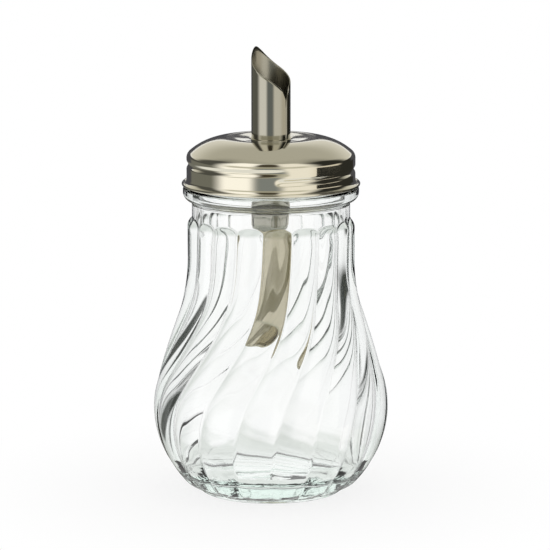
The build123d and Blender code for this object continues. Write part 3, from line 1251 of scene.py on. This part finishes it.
@dataclass
class PouringSpout:
    """The spout: a rolled tube with a butt seam, slanted mouth, seat bead and closed-in foot.

    Lengths are millimetres and angles degrees.
    """

    radius: float = 6.6
    wall: float = 0.45
    foot: float = 88.9
    foot_bore: float = 4.92
    cone: float = 2.7  # height of the closed-in foot
    cone_round: float = 3.0
    seat_height: float = 108.359
    seat_radius: float = 5.0  # opening of the seat bead
    side: float = -40.0  # side of the low corner and of the seam
    tip: float = 151.296
    seam_start: float = 116.0  # hidden in the lid
    seam_run: float = 0.6
    mouth_start: float = 127.0  # the rows bend to the mouth from here up
    rim_round: float = 0.14
    row_step: float = 0.8
    seam_half: float = 14.0  # columns crowd this far round the seam
    fine_columns: int = 48
    coarse_columns: int = 120
    steel: SatinSteel = SatinSteel("Spout steel", (0.42, 0.41, 0.35), bore=0.0063, bore_roughness=0.32)

    def mouth(self) -> PouringMouth:
        """The mouth's sizes.

        Returns:
            The mouth.
        """
        return PouringMouth(
            side=self.side,
            radius=self.radius,
            slope=32.0,
            straight=3.0,
            tip_straight=1.6,
            middle=143.196,
            tip=self.tip,
            corner=136.596,
            notch_width=2.6,
            notch_length=2.4,
            slit_width=0.4,
            slit_length=3.0,
            seam_width=0.25,
            seam_depth=0.15,
        )

    def section(self) -> Outline:
        """Closed half section of the tube with a square end at the height of the tip.

        Returns:
            The outline.
        """
        bore = self.radius - self.wall
        seat = bore - self.seat_radius
        groove = self.radius - self.seat_radius - self.wall * math.sqrt(2)
        foot_out = self.foot_bore + self.wall
        knee, knee_in = (self.radius, self.foot + self.cone), (bore, self.foot + self.cone)
        low, high = self.seat_height - groove, self.seat_height + groove
        outline = Outline(closed=True)
        outline.add([(self.foot_bore, self.foot), (foot_out, self.foot)])
        outline.add(eased((foot_out, self.foot), knee, (self.radius, low), self.cone_round, 6))
        outline.add([(self.radius, low), (self.radius - groove, self.seat_height), (self.radius, high)])
        outline.add([(self.radius, self.seam_start)])
        outline.add([(self.radius, self.seam_start + self.seam_run)], seamed=1.0)
        rows = spaced((0.0, self.mouth_start), (0.0, self.tip - self.rim_round), self.row_step)
        span = self.tip - self.mouth_start
        reach = [(z - self.mouth_start) / span for _, z in rows]
        outline.add([(self.radius, z) for _, z in rows], seamed=1.0, reach=reach)
        top, inner = (self.radius, self.tip), (bore, self.tip)
        outline.add(eased((self.radius, self.foot), top, inner, self.rim_round, 3), reach=1.0, seamed=1.0)
        outline.add(eased(top, inner, (bore, self.foot), self.rim_round, 3), reach=1.0)
        outline.add([(bore, z) for _, z in reversed(rows)], reach=list(reversed(reach)))
        outline.add([(bore, self.seat_height + seat), (self.seat_radius, self.seat_height)])
        outline.add([(bore, self.seat_height - seat), knee_in])
        return outline

    def build(self) -> bpy.types.Object:
        """Makes and dresses the spout.

        Returns:
            The spout.
        """
        steel = self.steel.material()
        columns = seam_columns(self.side, self.seam_half, self.fine_columns, self.coarse_columns)
        mesh = self.mouth().cut(self.section().turned("spout", columns), steel)
        return piece("pouring_spout", mesh, Body.LID, ["spout_tube"])


@dataclass
class DosingTube:
    """The narrow tube that hangs in the jar, with a flared top and a slanted lower end.

    Lengths are millimetres and angles degrees.
    """

    radius: float = 4.9
    wall: float = 0.4
    end: float = 43.5  # lowest point
    foot: float = 88.9  # the flare begins here
    cone: float = 2.7
    cone_round: float = 3.0
    flare: float = 6.13  # radius at the top
    slope: float = 56.0
    side: float = 75.0  # side of the lowest point
    rim_round: float = 0.12
    slant_top: float = 66.0  # the rows bend to the slant from here down
    row_step: float = 0.8
    columns: int = 128
    steel: SatinSteel = SatinSteel("Tube steel", (0.52, 0.48, 0.36))

    def section(self) -> Outline:
        """Closed half section of the tube with a square lower end.

        Returns:
            The outline.
        """
        bore = self.radius - self.wall
        low, low_in = (self.radius, self.end), (bore, self.end)
        top = self.foot + self.cone
        outline = Outline(closed=True)
        outline.add(eased((bore, top), low_in, low, self.rim_round, 3), reach=1.0)
        outline.add(eased(low_in, low, (self.radius, top), self.rim_round, 3), reach=1.0)
        rows = spaced((0.0, self.end + self.rim_round), (0.0, self.slant_top), self.row_step)
        reach = [(self.slant_top - z) / (self.slant_top - self.end) for _, z in rows]
        outline.add([(self.radius, z) for _, z in rows], reach=reach)
        rim, rim_in = (self.flare, top), (self.flare - self.wall, top)
        outline.add(eased(low, (self.radius, self.foot), rim, self.cone_round, 5))
        outline.add([rim, rim_in])
        outline.add(eased(rim_in, (bore, self.foot), low_in, self.cone_round, 5))
        outline.add([(bore, z) for _, z in reversed(rows)], reach=list(reversed(reach)))
        return outline

    def build(self) -> bpy.types.Object:
        """Makes and dresses the dosing tube.

        Returns:
            The tube.
        """
        steel = self.steel.material()
        rise = self.radius * math.tan(math.radians(self.slope))
        end = SlantedEnd(self.side, self.slope, self.end + rise, self.end)
        mesh = end.cut(self.section().turned("dosing tube", even_columns(self.columns)), steel)
        return piece("dosing_pipe", mesh, Body.LID, ["dosing_tube"])


@dataclass
class SmallParts:
    """Gasket, flap and pin, as smooth copies of their CAD nodes.

    Attributes:
        crease: angle beyond which an edge stays sharp, degrees.
        weld: distance within which loose corners are joined, metres.
    """

    crease: float = 30.0
    weld: float = 2e-6

    def copy(self, node: bpy.types.Object, finish: bpy.types.Material) -> bpy.types.Mesh:
        """Copies a CAD node as one smooth mesh.

        Args:
            node: the node to copy.
            finish: material of the copy.

        Returns:
            The mesh, in millimetres.
        """
        mesh = node.data.copy()
        shape = bmesh.new()
        shape.from_mesh(mesh)
        bmesh.ops.remove_doubles(shape, verts=shape.verts, dist=self.weld)
        shape.to_mesh(mesh)
        shape.free()
        mesh.materials.clear()
        mesh.materials.append(finish)
        mesh.shade_smooth()
        mesh.set_sharp_from_angle(angle=math.radians(self.crease))
        mesh.transform(Matrix.Scale(1 / MM, 4))
        return mesh

    def build(self, nodes: dict[str, bpy.types.Object]) -> None:
        """Makes and dresses the small parts.

        Args:
            nodes: the frame's nodes by name.
        """
        flap, pin, seal = SatinSteel("Flap steel"), SatinSteel("Pin steel"), SealRubber()
        ring = self.copy(nodes["lid_gasket"], seal.material())
        piece("seal_ring", ring, Body.GASKET, ["lid_gasket"])
        piece("spout_flap", self.copy(nodes["flap"], flap.material()), Body.FLAP, ["flap"])
        piece("flap_axle", self.copy(nodes["flap_pin"], pin.material()), Body.LID, ["flap_pin"])


# ------------------------------------------------------------------ studio
class Ray(Enum):
    """Kinds of ray that a thing in the studio can be hidden from."""

    CAMERA = "camera"
    DIFFUSE = "diffuse"
    GLOSSY = "glossy"
    TRANSMISSION = "transmission"
    SHADOW = "shadow"


def hide(thing: bpy.types.Object, *rays: Ray) -> None:
    """Lets some kinds of ray pass through a thing in the studio."""
    for ray in rays:
        setattr(thing, f"visible_{ray.value}", False)


@dataclass(frozen=True)
class Panel:
    """One soft-edged area of the studio that gloss and glass can see.

    Attributes:
        bearing: its middle, degrees to the right of the front.
        half_bearing: half its width, degrees.
        low: lower edge, degrees above the horizon.
        high: upper edge.
        colour: its brightness.
        soft: width of its soft sides, degrees.
        soft_low: width of its soft lower edge.
        soft_high: width of its soft upper edge.
    """

    bearing: float
    half_bearing: float
    low: float
    high: float
    colour: Colour
    soft: float = 12.0
    soft_low: float = 6.0
    soft_high: float = 6.0


@dataclass
class Studio:
    """Plain pale floor, soft even light and the camera.

    Attributes:
        ambient: even light on matt surfaces.
        shade: what gloss sees between its panels.
        gloss: panels that gloss sees, later ones over earlier ones.
        clear: what glass shows between its panels.
        glass: panels that glass shows.
        inside: panels that only mirrors behind glass see.
        card: colour of the black card.
        paper: colour of the floor.
        lens: focal length of the camera, millimetres.
        film: width of its film, millimetres.
        tilt: how far it looks down, degrees.
        stand: where it stands, metres.
    """

    ambient: Colour = (0.75, 0.75, 0.74)
    shade: Colour = (0.09, 0.09, 0.08)
    gloss: tuple[Panel, ...] = (
        Panel(120, 50, -90, 75, (0.03, 0.03, 0.025), 20),  # black wall at the right
        Panel(-130, 50, -60, 2, (0.19, 0.19, 0.165), 10),  # dim wall behind at the left
        Panel(0, 400, 60, 120, (0.45, 0.44, 0.38), 20, 24),  # ceiling
        Panel(180, 56, 12.0, 120, (0.50, 0.485, 0.42), 26, 1.5),  # wall behind
        Panel(180, 50, 12.0, 30, (0.76, 0.74, 0.67), 26, 1.5, 30),  # its lit lower part
        Panel(180, 40, 11.6, 14.5, (1.0, 1.0, 1.0), 10, 1, 2),  # bright line along its foot
        Panel(180, 40, -12, 11.6, (0.08, 0.08, 0.09), 10, 4, 1),  # dark strip below that
        Panel(180, 1.0, 3.0, 7.0, (1.0, 1.0, 1.0), 1.2, 1, 0.8),  # small lamp in the strip
        Panel(78, 30, -40, 3, (0.85, 0.78, 0.66), 14),  # warm board low at the right
        Panel(-49, 28, -40, 70, (1.27, 1.24, 1.20), 28, 6, 14),  # soft box at the left
        Panel(37, 27, -40, 70, (1.05, 1.01, 0.93), 30, 6, 14),  # soft box at the right
        Panel(-6, 60, 3, 24, (0.62, 0.60, 0.51), 26, 10, 14),  # wall in front
        Panel(-4, 17, -40, 3, (0.25, 0.27, 0.27), 20),  # gap between the boxes, low
        Panel(-5, 15, 3, 27, (0.42, 0.40, 0.32), 16, 6, 10),  # the gap, at eye level
        Panel(-5, 17, 29, 64, (0.07, 0.06, 0.04), 12, 10, 14),  # the gap, high
        Panel(0, 400, -120, -30, (0.95, 0.95, 0.93), 10, 6, 12),  # table
    )
    clear: Colour = (1.0, 1.0, 1.0)
    glass: tuple[Panel, ...] = (
        Panel(0, 400, -120, -17, (0.74, 0.77, 0.74), 6, 10, 10),  # table
        Panel(-132, 9, -22, 9, (0.05, 0.055, 0.05), 5, 3),  # black flag behind at the left
        Panel(122, 6, -22, 9, (0.05, 0.055, 0.05), 5, 3),  # black flag behind at the right
    )
    inside: tuple[Panel, ...] = (Panel(27, 20, -40, 12, (0.33, 0.32, 0.25), 24),)  # dim board
    card: Colour = (0.03, 0.03, 0.025)
    paper: Colour = (0.9, 0.9, 0.9)
    lens: float = 231.4
    film: float = 36.0
    tilt: float = 10.37
    stand: tuple[float, float, float] = (0.00136, -1.1776, 0.2893)

    def surroundings(
        self, graph: Graph, bearing: Value, height: Value, between: Any, panels: Iterable[Panel]
    ) -> Any:
        """Paints a set of panels by direction.

        Args:
            graph: the world's nodes.
            bearing: degrees to the right of the front.
            height: degrees above the horizon.
            between: colour between the panels.
            panels: the panels, later ones over earlier ones.

        Returns:
            The colour's socket.
        """
        seen: Any = between
        for panel in panels:
            off = graph.math("ABSOLUTE", graph.math("WRAP", bearing - panel.bearing, 180.0, -180.0))
            half, soft = panel.half_bearing, panel.soft / 2
            low, high = panel.soft_low / 2, panel.soft_high / 2
            share = graph.ramp(off, half - soft, half + soft, 1.0, 0.0)
            share = share * graph.ramp(height, panel.low - low, panel.low + low)
            share = share * graph.ramp(height, panel.high - high, panel.high + high, 1.0, 0.0)
            seen = graph.blend(share, seen, panel.colour)
        return seen

    def world(self) -> None:
        """Builds the surroundings: white for the camera, panels for gloss and glass, else even light.

        What a ray has been through or been mirrored by tells which set of panels it meets.
        """
        world = bpy.data.worlds.new("Studio")
        bpy.context.scene.world = world
        world.use_nodes = True
        graph = Graph(world.node_tree)
        x, y, z = graph.axes(graph.node("ShaderNodeTexCoord").outputs["Generated"])
        degrees = 180 / math.pi
        bearing = graph.math("ARCTAN2", x, -1.0 * y) * degrees
        height = graph.math("ARCSINE", z) * degrees
        gloss = self.surroundings(graph, bearing, height, self.shade, self.gloss)
        glass = self.surroundings(graph, bearing, height, self.clear, self.glass)
        inside = self.surroundings(graph, bearing, height, glass, self.inside)
        path = graph.node("ShaderNodeLightPath")
        mirrored = graph.math("GREATER_THAN", graph.number(path, "Glossy Depth"), 0.5)
        through = graph.math("GREATER_THAN", graph.number(path, "Transmission Depth"), 0.5)
        colour = graph.blend(through, gloss, graph.blend(mirrored, glass, inside))
        colour = graph.blend(graph.number(path, "Is Diffuse Ray"), colour, self.ambient)
        colour = graph.blend(graph.number(path, "Is Camera Ray"), colour, (1.0, 1.0, 1.0))
        background = graph.node("ShaderNodeBackground", sockets={"Color": colour, "Strength": 1.0})
        graph.node("ShaderNodeOutputWorld", sockets={"Surface": background.outputs[0]})

    def sheet(
        self, name: str, corners: Sequence[Sequence[float]], surface: bpy.types.Material, *unseen: Ray
    ) -> None:
        """Stands a flat sheet in the studio.

        Args:
            name: its name.
            corners: its four corners, metres.
            surface: its material.
            unseen: kinds of ray that it lets through.
        """
        mesh = bpy.data.meshes.new(name)
        mesh.from_pydata(corners, [], [(0, 1, 2, 3)])
        mesh.materials.append(surface)
        made = bpy.data.objects.new(name, mesh)
        bpy.context.scene.collection.objects.link(made)
        hide(made, *unseen)

    def flag(self, away: float = 0.12, front: float = -0.073, back: float = 0.16, top: float = 0.101) -> None:
        """Stands a black card low at the right, which only gloss shows.

        Args:
            away: its distance to the right, metres.
            front: its front edge.
            back: its back edge.
            top: its height.
        """
        material, graph = new_material("Black card")
        glow = graph.node("ShaderNodeEmission", sockets={"Color": rgba(self.card), "Strength": 1.0})
        graph.node("ShaderNodeOutputMaterial", sockets={"Surface": glow.outputs[0]})
        corners = [(away, front, 0), (away, back, 0), (away, back, top), (away, front, top)]
        self.sheet("Black card", corners, material, Ray.CAMERA, Ray.DIFFUSE, Ray.TRANSMISSION, Ray.SHADOW)

    def floor(self, half: float = 6.0, shade: float = 0.16, near: float = 0.02, fade: float = 0.12) -> None:
        """Lays a white floor that keeps a faint shadow round the foot.

        Args:
            half: half its side, metres.
            shade: share of the floor near the foot that takes light and shadow.
            near: distance at which that share begins to run out, metres.
            fade: distance at which it has run out.
        """
        material, graph = new_material("Pale floor")
        distance = graph.length(graph.node("ShaderNodeTexCoord").outputs["Object"])
        share = graph.ramp(distance, near, fade, shade, 0.0)
        for_camera = graph.number(graph.node("ShaderNodeLightPath"), "Is Camera Ray")
        matt = graph.node("ShaderNodeBsdfDiffuse", sockets={"Color": rgba(self.paper)})
        glow = graph.node("ShaderNodeEmission", sockets={"Color": rgba((1.0, 1.0, 1.0)), "Strength": 1.0})
        factor = 1.0 - (1.0 - share) * for_camera
        mixed = graph.node("ShaderNodeMixShader", sockets={0: factor, 1: glow.outputs[0], 2: matt.outputs[0]})
        graph.node("ShaderNodeOutputMaterial", sockets={"Surface": mixed.outputs[0]})
        corners = [(-half, -half, 0), (half, -half, 0), (half, half, 0), (-half, half, 0)]
        self.sheet("Floor", corners, material, Ray.GLOSSY, Ray.TRANSMISSION)

    def lamp(self, energy: float = 1.6, side: float = 1.2, height: float = 1.6) -> None:
        """Hangs one soft lamp overhead, which gloss doesn't show.

        Args:
            energy: its power, watts.
            side: side of the lamp, metres.
            height: height above the floor, metres.
        """
        lamp = bpy.data.lights.new("Soft overhead", "AREA")
        lamp.energy, lamp.size = energy, side
        hung = bpy.data.objects.new("Soft overhead", lamp)
        hung.location = (0.0, 0.0, height)
        hide(hung, Ray.GLOSSY, Ray.TRANSMISSION)
        bpy.context.scene.collection.objects.link(hung)

    def camera(self) -> None:
        """Stands the camera in front of the jar, a little above it."""
        camera = bpy.data.cameras.new("Front camera")
        camera.lens, camera.sensor_width = self.lens, self.film
        placed = bpy.data.objects.new("Front camera", camera)
        placed.location = self.stand
        placed.rotation_euler = (math.radians(90 - self.tilt), 0.0, 0.0)
        bpy.context.scene.collection.objects.link(placed)
        bpy.context.scene.camera = placed

    def build(self) -> None:
        """Sets up surroundings, floor, lamp and camera."""
        self.world()
        self.floor()
        self.flag()
        self.lamp()
        self.camera()
        bpy.context.scene.view_settings.view_transform = "Standard"
        log.info("Studio: %d panels", len(self.gloss) + len(self.glass) + len(self.inside))


def main() -> None:
    """Builds the dispenser, then the studio round it."""
    logging.basicConfig(level=logging.INFO, format="%(message)s")
    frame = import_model()
    FlutedJar().build()
    ScrewLid().build()
    PouringSpout().build()
    DosingTube().build()
    SmallParts().build(frame["nodes"])
    Studio().build()


if __name__ == "__main__":
    main()
